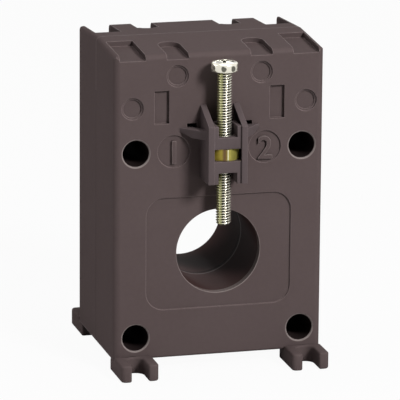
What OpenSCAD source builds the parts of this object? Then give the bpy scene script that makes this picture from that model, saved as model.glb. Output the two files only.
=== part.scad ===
// Window-type current transformer in a two-part moulded case.
// Origin on the bore axis at mid-depth, X to the right, Y to the rear, Z up, millimetres.

/* [Case] */
// Width of the case
case_w = 56; // [54:1:60]
// Depth of the two half shells together
case_d = 40; // [38:1:46]
// Height of the front and rear faces
case_h = 81; // [79:0.5:90]
// Height of the bore axis above the underside of the case
bore_height = 28; // [28:0.5:31]
// Rise of the top from either face to the seam
top_draft = 1.2; // [0.4:0.1:2]
// Wall thickness of the shells
wall = 2; // [1.6:0.1:2.4]
// Radius of the upright edges
upright_r = 1.7; // [0.8:0.1:2]
// Radius of the edges between the faces and the top
top_r = 1.5; // [0.5:0.1:1.6]
// Radius of the edges between the sides and the top
side_r = 1.4; // [0.5:0.1:1.4]
// Height of the tongue that joins the shells at the seam
tongue_h = 1.5; // [1:0.1:2.5]
// Thickness of that tongue
tongue_t = 0.9; // [0.7:0.1:1.1]

/* [Bore and fixing holes] */
// Diameter of the window for the primary conductor
bore_d = 22.5; // [20:0.5:23]
// Wall of the bore tube
bore_wall = 1.7; // [1.4:0.1:2]
// Chamfer at each mouth of the bore
bore_rim = 0.4; // [0.2:0.1:0.6]
// Diameter of the four fixing holes
fixing_d = 7; // [5:0.5:7]
// Wall of the fixing tubes
fixing_wall = 1.4; // [1:0.1:1.6]
// Distance of the fixing holes from the sides, and of the lower ones from the underside
fixing_edge = 5.8; // [5.6:0.1:6.4]
// Depth of the upper fixing holes below the top of the faces
fixing_drop = 25.8; // [25.1:0.1:27]
// Chamfer at each mouth of the fixing holes
fixing_rim = 0.35; // [0.2:0.05:0.5]

/* [Marks on the faces] */
// Width of the shallow panel around the bore
panel_w = 38.9; // [34:0.1:40]
// Height of that panel
panel_h = 30; // [28:0.1:31]
// Corner radius of that panel
panel_r = 4.8; // [2:0.1:6]
// Depth of the shallow marks in the faces
mark_depth = 0.45; // [0.2:0.05:0.5]
// Radius of the ring marks
ring_r = 2.9; // [2.4:0.05:3]
// Depth of the outer ring marks and of the upright pockets below the top of the faces
outer_ring_drop = 13.9; // [13.4:0.1:15]
// Depth of the inner ring marks below the top of the faces
inner_ring_drop = 5.8; // [5.6:0.1:6.6]
// Radius of the round places for the side marks
disc_r = 4.3; // [3.5:0.1:4.6]
// Distance of those places from the middle
disc_x = 12.2; // [12:0.1:12.6]
// Width of the two upright pockets
pocket_w = 3.9; // [3:0.1:4.5]
// Height of the two upright pockets
pocket_h = 8.7; // [7:0.1:9]
// Depth of the two upright pockets
pocket_depth = 1; // [0.4:0.1:1]
// Distance of the two upright pockets from the middle
pocket_x = 15.4; // [14.5:0.1:16]

/* [Notches in the top] */
// Wall between the outer notches and the sides of the case
outer_wall = 1.4; // [0.9:0.05:1.6]
// Width of the outer notches
outer_w = 6.9; // [6.6:0.1:7.3]
// Step from the outer notches and terminals to the inner ones
terminal_step = 11.95; // [11.8:0.05:12.4]
// Width of the inner notches
inner_w = 5.8; // [5.6:0.1:6.2]
// Depth of the front notches below the top
notch_depth = 1.4; // [1.2:0.1:1.9]
// Depth of the rear notches below the top
rear_notch_depth = 2.6; // [2.2:0.1:2.7]
// Length of the outer front notches
outer_front = 14.6; // [12:0.1:15]
// Length of the inner front notches
inner_front = 12; // [10:0.1:13]
// Length of the outer rear notches
outer_rear = 13.5; // [12:0.1:14]
// Length of the inner rear notches
inner_rear = 10; // [9.5:0.1:12]

/* [Feet] */
// Width of a foot
foot_w = 10; // [9:0.1:11]
// Reach of a foot beyond the face of the case
foot_reach = 8.8; // [7:0.1:10]
// Length of the tongue under the case
foot_under = 4.2; // [3.2:0.1:5]
// Thickness of that tongue, which lifts the case
foot_t = 3.5; // [2.8:0.1:4]
// Rise of a foot's top in front of the face
foot_lip = 1; // [0.4:0.1:1]
// Width of the open screw slot
foot_slot = 4.5; // [4.2:0.1:5]
// Web between the end of the slot and the case
foot_web = 0.9; // [0.4:0.1:1.2]
// Radius of the outer corners
foot_r = 1.3; // [0.4:0.1:1.3]
// Length of the rib that presses into the case
rib_w = 6; // [4:0.1:7]
// Thickness of that rib
rib_t = 1.4; // [1:0.1:1.6]
// Height of that rib
rib_h = 1.2; // [0.8:0.1:1.3]

/* [Locking screw and bracket] */
// Thread diameter of the locking screw
screw_d = 4; // [3.8:0.1:4.1]
// Length of the locking screw under its head
screw_l = 40; // [38:1:45]
// Diameter of its pan head
screw_head_d = 7.4; // [6.8:0.1:7.4]
// Height of its pan head
screw_head_h = 3.1; // [2.2:0.1:3.3]
// Height of the screw's tip above the bore axis
screw_tip = 8.5; // [6:0.5:12]
// Distance of the screw's axis in front of the face
screw_out = 4.4; // [4.3:0.1:4.6]
// Width across the flats of the nut
nut_w = 7; // [6.8:0.1:7.2]
// Height of the nut
nut_h = 3.2; // [3:0.1:3.4]
// Height of the bracket's foot above the bore axis
bracket_z = 20; // [19:0.5:21]
// Height of the bracket's front
bracket_h = 15.2; // [14.8:0.1:16]
// Reach of the bracket in front of the face
bracket_out = 8.7; // [8.6:0.1:9.5]
// Rise of the cheeks from the front to the face
cheek_rise = 4.2; // [2:0.1:5]
// Thickness of the two cheeks
cheek_t = 1.6; // [1.2:0.1:2]
// Height of the cross bars over and under the nut
bar_h = 3; // [2.6:0.1:3.2]
// Width of the open grooves for the screw
groove_w = 5; // [4.6:0.1:5.2]
// Reach of the spring arms from the middle
arm_reach = 10.7; // [9.8:0.1:11]
// Thickness of the spring arms
arm_t = 1.5; // [1.2:0.1:1.7]
// Height of the spring arms
arm_h = 2.3; // [2:0.1:3.4]
// Drop of the arms' top below the bracket's front top
arm_drop = 1.6; // [1:0.1:2]
// Width of the hooks that pass into the case
hook_w = 1.3; // [1:0.1:1.6]

/* [Secondary terminals] */
// Depth of the outer terminals below the top of the faces
outer_drop = 15.3; // [14.8:0.1:15.8]
// Depth of the inner terminals below the top of the faces
inner_drop = 6.3; // [6.2:0.1:6.8]
// Depth of the wire channels from the rear face
channel_depth = 8.8; // [8:0.1:9.5]
// Wall of the wire channels
channel_wall = 1.2; // [1:0.1:1.3]
// Thickness of the terminal plates
plate_t = 1.2; // [1:0.1:1.5]
// Thread diameter of the terminal screws
term_d = 3; // [2.6:0.1:3]
// Length of the terminal screws under their heads
term_l = 8; // [6:0.5:9]
// Head diameter of the terminal screws
term_head_d = 5.4; // [5:0.1:5.5]
// Head height of the terminal screws
term_head_h = 2; // [1.6:0.1:2.4]
// Side of the square clamp washers
washer_w = 5.2; // [4.8:0.1:5.4]
// Thickness of the clamp washers
washer_t = 0.8; // [0.6:0.1:1]

/* [Core and winding] */
// Turns of the secondary winding
turns = 40; // [30:1:40]
// Diameter of the insulated wire
wire_d = 1.6; // [1.2:0.1:1.6]
// Thickness of the pads that hold the winding between the shells
pad_t = 2; // [1.5:0.1:3]
// Wall of the insulating caps on the core
cap_t = 0.9; // [0.7:0.1:1.2]
// Play between the case and the winding, round the bore tube
winding_play = 0.6; // [0.4:0.1:0.8]
// Room for the tape between the winding and the nearest wall or fixing tube
winding_room = 1.6; // [1.2:0.1:2.4]
// Thickness of the tape round the winding
tape_t = 0.5; // [0.3:0.1:0.6]
// Width of the tape round the winding
tape_w = 22; // [14:1:22]

/* [Hidden] */

// Clearances: a running screw thread, a pressed or clipped fit, and a loose one
run = 0.05;
fit = 0.05;
loose = 0.1;
// Overshoot of every cut past the face it leaves
past = 1;
// Segments of large and small round forms
fine = 96;
small = 40;

half_w = case_w / 2;
half_d = case_d / 2;
base_z = -bore_height;
top_z = case_h - bore_height;
seam_z = top_z + top_draft;
slope = atan(top_draft / half_d);
inner_half_w = half_w - wall;
inner_half_d = half_d - wall;
bore_r = bore_d / 2;
tube_r = bore_r + bore_wall;
fixing_r = fixing_d / 2;
fixing_tube = fixing_r + fixing_wall;
fixing_x = half_w - fixing_edge;
fixing_up = top_z - fixing_drop;
fixing_down = bore_height - fixing_edge;
outer_x = half_w - outer_wall - outer_w / 2;
inner_x = outer_x - terminal_step;
outer_z = top_z - outer_drop;
inner_z = top_z - inner_drop;
base_r = 0.7;
disc_z = fixing_up + 0.1;
outer_ring_z = top_z - outer_ring_drop;
inner_ring_z = top_z - inner_ring_drop;
ring_step = 0.45;

// The nut's pocket lies midway up the bracket
bracket_top = bracket_z + bracket_h;
pocket_play = 0.1;
nut_gap = nut_h + pocket_play;
nut_z = bracket_z + (bracket_h - nut_gap) / 2;
axis_y = -half_d - screw_out;
cheek_in = nut_w / 2 + 2 * fit;
cheek_out = cheek_in + cheek_t;
front_set_back = 0.2;
bar_back = 1.5;
arm_top = bracket_top - arm_drop;
arm_root = 1.7;
hook_x = cheek_out + 1.3;
hook_root = 2.6;
hook_low = arm_top - arm_h + 0.5;
hook_high = arm_top - 0.2;
barb = 0.5;
barb_t = 1.2;
slot_play = 0.4;
slot_room = 1.15;
tip_x = arm_reach + 0.1;
tip_bevel = 2.7;
tip_h = 1;
screw_play = 0.3;
nut_bevel = 0.4;
thread_bevel = 0.4;
recess_turn = 15;

// Planes of the terminals, counted from the rear face
channel_y = half_d - channel_depth;
plate_y = channel_y - channel_wall;
window_half = washer_w / 2 + 0.3;
rear_floor = 0.6;
plate_top = top_z - rear_notch_depth - rear_floor - fit;
peg_r = 0.9;
peg_up = 2.4;
post_r = 1.8;
tab_z = inner_z;
tab_h = 3.6;

// The winding fills the space between the bore tube and the corner tubes
wire_r = wire_d / 2;
wind_in = tube_r + winding_play;
wind_out = min(half_w - wall, bore_height - wall, norm([fixing_x, fixing_down]) - fixing_tube,
    norm([fixing_x, fixing_up]) - fixing_tube) - winding_room;
wind_y = inner_half_d - pad_t - fit;
core_in = wind_in + wire_d + fit;
core_out = wind_out - wire_d - fit;
core_y = wind_y - wire_d - fit;
wrap_angle = 340;
sleeve_t = 0.4;
sleeve_r = wire_r + fit + sleeve_t;
lead_play = 1.35;
lead_x = inner_x - inner_w / 2 - channel_wall - lead_play - sleeve_r;
lead_y = plate_y + wire_r + fit;
tab_x = lead_x - wire_r - 0.2;
core_edge = 0.3;
wire_bend = 0.5;
lead_step = 0.4;
lead_rise = wind_out - wire_r + 6;
lead_end = tab_z + tab_h / 2 - 0.6;
lead_low = wind_out - wire_r + 3;
lead_out = wind_y - 3.4;

plastic = [0.35, 0.31, 0.30];
zinc = [0.80, 0.76, 0.52];
brass = [0.78, 0.62, 0.28];

function unit(v) = v / norm(v);

// A convex outline whose corners are rounded by arcs that meet its sides
module outline(points, radii) {
    n = len(points);
    function back(i) = unit(points[(i + n - 1) % n] - points[i]);
    function ahead(i) = unit(points[(i + 1) % n] - points[i]);
    function half(i) = acos(back(i) * ahead(i)) / 2;
    polygon([for (i = [0 : n - 1]) for (side = [back(i), ahead(i)])
        points[i] + side * radii[i] / tan(half(i))]);
    for (i = [0 : n - 1])
        if (radii[i] > 0)
            translate(points[i] + unit(back(i) + ahead(i)) * radii[i] / sin(half(i)))
                circle(r = radii[i], $fn = small);
}

// A box given by its lowest and highest corners
module block(low, high) {
    translate(low) cube(high - low);
}

// A round bar along Y
module bar_y(r, from, to, seg = fine) {
    translate([0, to, 0]) rotate([90, 0, 0]) cylinder(r = r, h = to - from, $fn = seg);
}

// Children on the left and on the right
module both_sides() {
    for (side = [-1, 1]) scale([side, 1, 1]) children();
}

// The half case in front of the seam, solid: drafted top, rounded edges
module half_block() {
    difference() {
        intersection() {
            linear_extrude(3 * case_h, center = true)
                outline([[-half_w, -half_d], [half_w, -half_d], [half_w, 0], [-half_w, 0]],
                    [upright_r, upright_r, 0, 0]);
            rotate([90, 0, 90]) linear_extrude(2 * case_w, center = true)
                outline([[-half_d, top_z], [-half_d, base_z], [0, base_z], [0, seam_z]],
                    [top_r, base_r, 0, 0]);
        }
        both_sides() translate([half_w - side_r, 0, seam_z]) rotate([slope, 0, 0])
            translate([0, 0, -side_r]) rotate([90, 0, 0])
                linear_extrude(2 * case_d, center = true) difference() {
                    square(side_r + past);
                    circle(r = side_r, $fn = small);
                }
    }
}

// The room inside that half, with the same draft
module half_cavity() {
    low = base_z + wall;
    rotate([90, 0, 90]) linear_extrude(2 * inner_half_w, center = true)
        polygon([[-inner_half_d, low], [past, low], [past, seam_z - wall],
            [0, seam_z - wall], [-inner_half_d, top_z - wall]]);
}

// The band along the seam in which the tongue lies, from inside the wall to its middle
module seam_band(from, to, play) {
    low = base_z + wall;
    high = seam_z - wall;
    reach = tongue_t + play;
    difference() {
        block([-inner_half_w - reach, from, low - reach], [inner_half_w + reach, to, high + reach]);
        block([-inner_half_w, from - past, low], [inner_half_w, to + past, high]);
    }
}

// Places of the four fixing holes
module at_fixings() {
    for (x = [-fixing_x, fixing_x]) for (z = [-fixing_down, fixing_up]) translate([x, 0, z]) children();
}

// Hollow half case: walls, bore tube and fixing tubes
module half_shell() {
    difference() {
        union() {
            difference() {
                half_block();
                half_cavity();
            }
            intersection() {
                union() {
                    bar_y(tube_r, -half_d + wall / 2, 0);
                    at_fixings() bar_y(fixing_tube, -half_d + wall / 2, 0, small);
                }
                half_block();
            }
        }
        bar_y(bore_r, -case_d, past);
        mouth(bore_r, bore_rim, fine);
        at_fixings() {
            bar_y(fixing_r, -case_d, past, small);
            mouth(fixing_r, fixing_rim, small);
        }
        panel_recess();
        both_sides() translate([disc_x, 0, disc_z]) bar_y(disc_r, -case_d, -half_d + mark_depth);
        both_sides() foot_groove();
    }
}

// Chamfer where a round hole leaves the face
module mouth(r, rim, seg) {
    translate([0, -half_d - fit, 0]) rotate([-90, 0, 0])
        cylinder(r1 = r + rim + fit, r2 = r, h = rim + fit, $fn = seg);
}

// Shallow rounded panel round the bore
module panel_recess() {
    w = panel_w / 2;
    h = panel_h / 2;
    translate([0, -half_d + mark_depth, 0]) rotate([90, 0, 0]) linear_extrude(case_d)
        outline([[-w, -h], [w, -h], [w, h], [-w, h]], [panel_r, panel_r, panel_r, panel_r]);
}

// Groove in the underside for the rib of a foot
module foot_groove() {
    y = -half_d + foot_rib_y();
    block([half_w - foot_w / 2 - rib_w / 2 - fit, y - fit, base_z - past],
        [half_w - foot_w / 2 + rib_w / 2 + fit, y + rib_t + fit, base_z + rib_h + fit]);
}

function foot_rib_y() = (foot_under - rib_t) / 2;

// Sloping floor of a notch, cut down from the drafted top over a plan outline
module notch(length, depth) {
    intersection() {
        translate([0, 0, top_z - depth - past]) linear_extrude(case_h) children();
        translate([0, -half_d, top_z - depth]) rotate([slope, 0, 0])
            translate([-case_w, -case_d, 0]) cube([2 * case_w, case_d + length + past, case_h]);
    }
}

// Plan of a notch with a straight end
module square_plan(x, w, length) {
    translate([x - w / 2, -half_d - past]) square([w, length + past]);
}

// Plan of a notch with a half-round end
module round_plan(x, w, length) {
    square_plan(x, w, length - w / 2);
    translate([x, -half_d + length - w / 2]) circle(d = w, $fn = small);
}

// Walls and floor that box a notch off from the room inside
module notch_box(x, w, length, depth, floor_t) {
    block([x - w / 2 - channel_wall, -half_d + wall / 2, top_z - depth - floor_t],
        [x + w / 2 + channel_wall, -half_d + length + channel_wall, case_h]);
}

// Ring mark: a round dip with a smaller one inside it
module ring_mark() {
    bar_y(ring_r, -case_d, -half_d + mark_depth, small);
    bar_y(ring_r - ring_step, -case_d, -half_d + 2 * mark_depth, small);
}

// Front half of the case, which carries the bracket
module front_shell() {
    color(plastic) {
        difference() {
            union() {
                half_shell();
                intersection() {
                    both_sides() {
                        notch_box(outer_x, outer_w, outer_front, notch_depth, channel_wall);
                        notch_box(inner_x, inner_w, inner_front, notch_depth, channel_wall);
                    }
                    half_block();
                }
            }
            both_sides() {
                notch(outer_front, notch_depth) square_plan(outer_x, outer_w, outer_front);
                notch(inner_front, notch_depth) round_plan(inner_x, inner_w, inner_front);
                translate([outer_x, 0, outer_ring_z]) ring_mark();
                translate([inner_x, 0, inner_ring_z]) ring_mark();
                block([pocket_x - pocket_w / 2, -case_d, outer_ring_z - pocket_h / 2],
                    [pocket_x + pocket_w / 2, -half_d + pocket_depth, outer_ring_z + pocket_h / 2]);
                hook_slot();
            }
        }
        difference() {
            seam_band(-tongue_h, tongue_h, 0);
            seam_corner_relief();
        }
    }
}

// The tongue is cut back where the fixing tubes of the other shell meet it
module seam_corner_relief() {
    at_fixings() bar_y(fixing_tube + loose, 0, 2 * tongue_h, small);
}

// Slot in the front wall for a hook of the bracket
module hook_slot() {
    block([hook_x - slot_play, -case_d, hook_low - slot_play / 2],
        [hook_x + hook_w + barb + slot_play, -inner_half_d + past, hook_high + slot_room]);
}

// A terminal's channel: the wire comes in from above, the screw from the rear
module channel(x, z, w) {
    block([x - w / 2, channel_y, z - window_half], [x + w / 2, case_d, case_h]);
    block([x - w / 2, plate_y - past, z - window_half], [x + w / 2, channel_y + past, z + window_half]);
}

// The walls round such a channel
module channel_box(x, z, w) {
    block([x - w / 2 - channel_wall, plate_y, z - window_half - channel_wall],
        [x + w / 2 + channel_wall, inner_half_d + past, case_h]);
}

// Rear half of the case, which carries the secondary terminals
module rear_shell() {
    color(plastic) difference() {
        union() {
            difference() {
                scale([1, -1, 1]) half_shell();
                seam_band(-past, tongue_h + fit, fit);
            }
            scale([1, -1, 1]) at_fixings() difference() {
                bar_y(fixing_tube, -2 * tongue_h, 0, small);
                bar_y(fixing_r, -case_d, past, small);
            }
            intersection() {
                both_sides() {
                    scale([1, -1, 1]) {
                        notch_box(outer_x, outer_w, outer_rear, rear_notch_depth, rear_floor);
                        notch_box(inner_x, inner_w, inner_rear, rear_notch_depth, rear_floor);
                    }
                    channel_box(outer_x, outer_z, outer_w);
                    channel_box(inner_x, inner_z, inner_w);
                    translate([peg_x(), 0, peg_z()]) bar_y(post_r, plate_y, inner_half_d + past, small);
                }
                scale([1, -1, 1]) half_block();
            }
            both_sides() translate([peg_x(), 0, peg_z()])
                bar_y(peg_r, plate_y - plate_t, plate_y + past, small);
        }
        both_sides() {
            scale([1, -1, 1]) {
                notch(outer_rear, rear_notch_depth) square_plan(outer_x, outer_w, outer_rear);
                notch(inner_rear, rear_notch_depth) round_plan(inner_x, inner_w, inner_rear);
            }
            channel(outer_x, outer_z, outer_w);
            channel(inner_x, inner_z, inner_w);
        }
    }
}

function peg_x() = (outer_x - outer_w / 2 + inner_x + inner_w / 2) / 2;
function peg_z() = (outer_z + inner_z) / 2 + peg_up;

// Clip-on foot in front of the right corner, with its slot open to the front
module foot() {
    low = base_z - foot_t;
    x0 = half_w - foot_w;
    front = -half_d - foot_reach;
    slot_end = -half_d - foot_web - foot_slot / 2;
    color(plastic) difference() {
        union() {
            translate([0, 0, low]) linear_extrude(foot_t)
                outline([[x0, front], [half_w, front], [half_w, -half_d + foot_under],
                    [x0, -half_d + foot_under]], [foot_r, foot_r, 0, 0]);
            translate([0, 0, low]) linear_extrude(foot_t + foot_lip)
                outline([[x0, front], [half_w, front], [half_w, -half_d], [x0, -half_d]],
                    [foot_r, foot_r, 0, 0]);
            block([x0 + (foot_w - rib_w) / 2, -half_d + foot_rib_y(), base_z - past],
                [x0 + (foot_w + rib_w) / 2, -half_d + foot_rib_y() + rib_t, base_z + rib_h]);
        }
        translate([half_w - foot_w / 2, 0, low - past]) {
            translate([-foot_slot / 2, front - past, 0])
                cube([foot_slot, slot_end - front + past, case_h]);
            translate([0, slot_end, 0]) cylinder(d = foot_slot, h = case_h, $fn = small);
        }
    }
}

module foot_front_left() scale([-1, 1, 1]) foot();
module foot_front_right() foot();
module foot_rear_left() scale([-1, -1, 1]) foot();
module foot_rear_right() scale([1, -1, 1]) foot();

// One cheek of the bracket, seen from the side
module cheek() {
    translate([cheek_in, 0, 0]) rotate([90, 0, 90]) linear_extrude(cheek_t)
        polygon([[-half_d, bracket_z], [-half_d - bracket_out, bracket_z],
            [-half_d - bracket_out, bracket_top], [-half_d, bracket_top + cheek_rise]]);
}

// One spring arm, from the cheek's front to the face, with its hook through the case
module arm() {
    root = -half_d - bracket_out + arm_root;
    low = arm_top - arm_h;
    lean = unit([arm_reach - cheek_out, -half_d - root]);
    across = [-lean[1], lean[0]] * arm_t;
    tip = [arm_reach, -half_d];
    intersection() {
        translate([0, 0, low]) linear_extrude(arm_h) intersection() {
            polygon([[cheek_out - cheek_t / 2, root] - lean, tip, tip + lean, tip + lean + across * 2,
                [cheek_out - cheek_t / 2, root] - lean + across]);
            translate([cheek_out - cheek_t / 2, root - past])
                square([arm_reach, -half_d - root + past]);
        }
        rotate([90, 0, 0]) linear_extrude(2 * case_d)
            polygon([[0, low], [tip_x - tip_bevel, low], [tip_x, arm_top - tip_h],
                [tip_x, arm_top], [0, arm_top]]);
    }
    block([hook_x, -half_d - hook_root, hook_low], [hook_x + hook_w, -inner_half_d + 2 * fit, hook_high]);
    block([hook_x, -inner_half_d + fit, hook_low],
        [hook_x + hook_w + barb, -inner_half_d + barb_t, hook_high]);
}

// Bracket that holds the nut: two cheeks, a cored block between them, and two arms
module screw_bracket() {
    front = -half_d - bracket_out + front_set_back;
    color(plastic) {
        both_sides() {
            cheek();
            arm();
        }
        difference() {
            block([-cheek_in - fit, front, bracket_z], [cheek_in + fit, -half_d - bar_back, bracket_top]);
            block([-cheek_in, front - past, nut_z], [cheek_in, -half_d, nut_z + nut_gap]);
            translate([0, axis_y, 0]) cylinder(r = screw_d / 2 + screw_play, h = case_h, $fn = small);
            for (z = [bracket_z - past, nut_z + nut_gap + bar_h]) {
                translate([0, axis_y, z]) cylinder(d = groove_w, h = groove_h() + past, $fn = small);
                block([-groove_w / 2, front - past, z], [groove_w / 2, axis_y, z + groove_h() + past]);
            }
        }
    }
}

function groove_h() = (bracket_h - nut_gap) / 2 - bar_h;

// Hexagon nut with chamfered corners, in its pocket
module lock_nut() {
    corner = nut_w / sqrt(3);
    color(brass) translate([0, axis_y, nut_z]) difference() {
        intersection() {
            rotate([0, 0, 90]) cylinder(r = corner, h = nut_h, $fn = 6);
            rotate_extrude($fn = small)
                polygon([[0, 0], [corner - nut_bevel, 0], [corner, nut_bevel],
                    [corner, nut_h - nut_bevel], [corner - nut_bevel, nut_h], [0, nut_h]]);
        }
        translate([0, 0, -past]) cylinder(r = screw_d / 2 + run, h = nut_h + 2 * past, $fn = small);
    }
}

// Pan-head screw with a cross recess, its underside at the origin and its thread downwards
module pan_screw(d, length, head_d, head_h, slot) {
    difference() {
        union() {
            rotate_extrude($fn = fine) intersection() {
                square([head_d / 2, head_h]);
                outline([[0, 0], [head_d / 2, 0], [head_d / 2, head_h], [0, head_h]],
                    [0, head_h * 0.15, head_h * 0.6, 0]);
            }
            translate([0, 0, -length])
                cylinder(r1 = d / 2 - thread_bevel, r2 = d / 2, h = thread_bevel, $fn = small);
            translate([0, 0, thread_bevel - length]) cylinder(d = d, h = length, $fn = small);
        }
        for (turn = [0, 90]) rotate([0, 0, turn + recess_turn])
            translate([-head_d * 0.3, -slot / 2, head_h * 0.4]) cube([head_d * 0.6, slot, head_h]);
    }
}

// Screw that clamps the primary conductor in the bore
module locking_screw() {
    color(zinc) translate([0, axis_y, screw_tip + screw_l])
        pan_screw(screw_d, screw_l, screw_head_d, screw_head_h, 1);
}

// Ring of rectangular section about the bore axis
module ring(r_in, r_out, from, to) {
    difference() {
        bar_y(r_out, from, to);
        bar_y(r_in, from - past, to + past);
    }
}

// Core wound from steel strip, its edges broken
module core() {
    r_in = core_in + cap_t + loose;
    r_out = core_out - cap_t - loose;
    half = core_y - cap_t - loose;
    color([0.45, 0.45, 0.48]) rotate([90, 0, 0]) rotate_extrude($fn = fine)
        polygon([[r_in, -half], [r_out - core_edge, -half], [r_out, core_edge - half],
            [r_out, half - core_edge], [r_out - core_edge, half], [r_in, half]]);
}

// Insulating cap over the front half of the core
module core_cap() {
    difference() {
        ring(core_in, core_out, -core_y, 0);
        ring(core_in + cap_t, core_out - cap_t, -core_y + cap_t, past);
    }
}

module core_cap_front() color([0.86, 0.84, 0.78]) core_cap();
module core_cap_rear() color([0.86, 0.84, 0.78]) scale([1, -1, 1]) core_cap();

// One turn round the section of the core: radius and depth at its eight corners
function turn_corners(r0, r1, y, c) = [[r1, y - c], [r1 - c, y], [r0 + c, y], [r0, y - c],
    [r0, c - y], [r0 + c, -y], [r1 - c, -y], [r1, c - y]];

// Points of the wire's path: lead, turns spread round the core, lead
function wire_path() = let (
    edge = wind_out - wire_r,
    corners = turn_corners(wind_in + wire_r, edge, wind_y - wire_r, wire_bend),
    n = len(corners),
    start = 270 - wrap_angle / 2,
    coil = [for (i = [0 : turns * n - 1]) let (
        a = start + wrap_angle * i / (turns * n - 1),
        p = corners[i % n]) [p[0] * cos(a), p[1], p[0] * sin(a)]])
    concat([[-lead_x, lead_y, lead_end], [-lead_x, lead_y, lead_rise], [-lead_x, lead_out, lead_low]],
        coil,
        [[lead_x - lead_step, lead_out, sqrt(edge ^ 2 - (lead_x - lead_step) ^ 2)],
            [lead_x, lead_out, lead_low],
            [lead_x, lead_y, lead_rise], [lead_x, lead_y, lead_end]]);

// Round wire swept along a path, its rings turned to the radial planes
module wire(path, r, sides) {
    last = len(path) - 1;
    function along(i) = unit(path[min(i + 1, last)] - path[max(i - 1, 0)]);
    function round_bore(i) = unit([-path[i][2], 0, path[i][0]]);
    function side_a(i) = unit(cross(along(i), round_bore(i)));
    function side_b(i) = cross(along(i), side_a(i));
    rings = [for (i = [0 : last]) for (k = [0 : sides - 1]) let (a = 360 * k / sides)
        path[i] + r * (cos(a) * side_a(i) + sin(a) * side_b(i))];
    polyhedron(rings, concat(
        [[for (k = [0 : sides - 1]) k]],
        [for (i = [0 : last - 1]) for (k = [0 : sides - 1]) let (
            p = i * sides + k, q = i * sides + (k + 1) % sides)
            each [[p, p + sides, q + sides], [p, q + sides, q]]],
        [[for (k = [sides - 1 : -1 : 0]) last * sides + k]]));
}

// Enamelled wire wound round the capped core, with its two leads
module secondary_winding() color([0.62, 0.32, 0.14]) wire(wire_path(), wire_r, 6);

module winding_tape() color([0.85, 0.78, 0.45])
    ring(wind_out + loose, wind_out + loose + tape_t, -tape_w / 2, tape_w / 2);

// Soft rings that hold the winding between the shells
module pad_front() color([0.25, 0.25, 0.26]) ring(wind_in, wind_out, -inner_half_d, -inner_half_d + pad_t);
module pad_rear() color([0.25, 0.25, 0.26]) ring(wind_in, wind_out, inner_half_d - pad_t, inner_half_d);

// Sleeve over the straight part of a lead
module lead_sleeve() {
    low = lead_rise + wire_r;
    high = tab_z - tab_h / 2 - 4 * loose;
    color([0.75, 0.72, 0.66]) translate([lead_x, lead_y, low]) difference() {
        cylinder(r = sleeve_r, h = high - low, $fn = small);
        translate([0, 0, -past]) cylinder(r = wire_r + fit, h = high - low + 2 * past, $fn = small);
    }
}

module lead_sleeve_left() scale([-1, 1, 1]) lead_sleeve();
module lead_sleeve_right() lead_sleeve();

// Plate that joins the two terminals of one side, with a tab for the lead
module terminal_plate() {
    in_x = inner_x - inner_w / 2 - channel_wall / 2;
    out_x = inner_half_w - loose;
    low = outer_z - window_half - channel_wall / 2;
    color(brass) difference() {
        translate([0, plate_y, 0]) rotate([90, 0, 0]) linear_extrude(plate_t) {
            polygon([[outer_x - outer_w / 2 - channel_wall / 2, low], [out_x, low],
                [out_x, outer_z + window_half + channel_wall / 2],
                [inner_x + inner_w / 2 + channel_wall / 2, plate_top], [in_x, plate_top],
                [in_x, inner_z - window_half - channel_wall / 2],
                [inner_x, inner_z - window_half - channel_wall / 2]]);
            translate([tab_x, tab_z - tab_h / 2]) square([inner_x - tab_x, tab_h]);
        }
        for (place = [[outer_x, outer_z], [inner_x, inner_z]])
            translate([place[0], 0, place[1]]) bar_y(term_d / 2 + run, 0, half_d, small);
        translate([peg_x(), 0, peg_z()]) bar_y(peg_r + fit, 0, half_d, small);
    }
}

module terminal_plate_left() scale([-1, 1, 1]) terminal_plate();
module terminal_plate_right() terminal_plate();

// Square washer that clamps the wire on the plate
module clamp_washer(x, z) {
    color(zinc) translate([x, 0, z]) difference() {
        block([-washer_w / 2, plate_y, -washer_w / 2], [washer_w / 2, plate_y + washer_t, washer_w / 2]);
        bar_y(term_d / 2 + run, 0, half_d, small);
    }
}

module clamp_washer_left_outer() clamp_washer(-outer_x, outer_z);
module clamp_washer_left_inner() clamp_washer(-inner_x, inner_z);
module clamp_washer_right_inner() clamp_washer(inner_x, inner_z);
module clamp_washer_right_outer() clamp_washer(outer_x, outer_z);

// Terminal screw, its head towards the rear
module terminal_screw(x, z) {
    color(zinc) translate([x, plate_y + washer_t, z]) rotate([-90, 0, 0])
        pan_screw(term_d, term_l, term_head_d, term_head_h, 0.8);
}

module terminal_screw_left_outer() terminal_screw(-outer_x, outer_z);
module terminal_screw_left_inner() terminal_screw(-inner_x, inner_z);
module terminal_screw_right_inner() terminal_screw(inner_x, inner_z);
module terminal_screw_right_outer() terminal_screw(outer_x, outer_z);

front_shell();
rear_shell();
foot_front_left();
foot_front_right();
foot_rear_left();
foot_rear_right();
screw_bracket();
lock_nut();
locking_screw();
core();
core_cap_front();
core_cap_rear();
secondary_winding();
winding_tape();
pad_front();
pad_rear();
lead_sleeve_left();
lead_sleeve_right();
terminal_plate_left();
terminal_plate_right();
clamp_washer_left_outer();
clamp_washer_left_inner();
clamp_washer_right_inner();
clamp_washer_right_outer();
terminal_screw_left_outer();
terminal_screw_left_inner();
terminal_screw_right_inner();
terminal_screw_right_outer();
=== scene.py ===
"""Window-type current transformer, finished as it leaves the assembly bench.

The sections follow the part as it is put together. Everything is in metres, in the
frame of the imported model: origin on the bore axis, X right, Y rear, Z up.
"""
from collections import namedtuple
from math import cos, pi, radians, sin, sqrt

import bmesh
import bpy
from mathutils import Matrix, Vector


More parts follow.
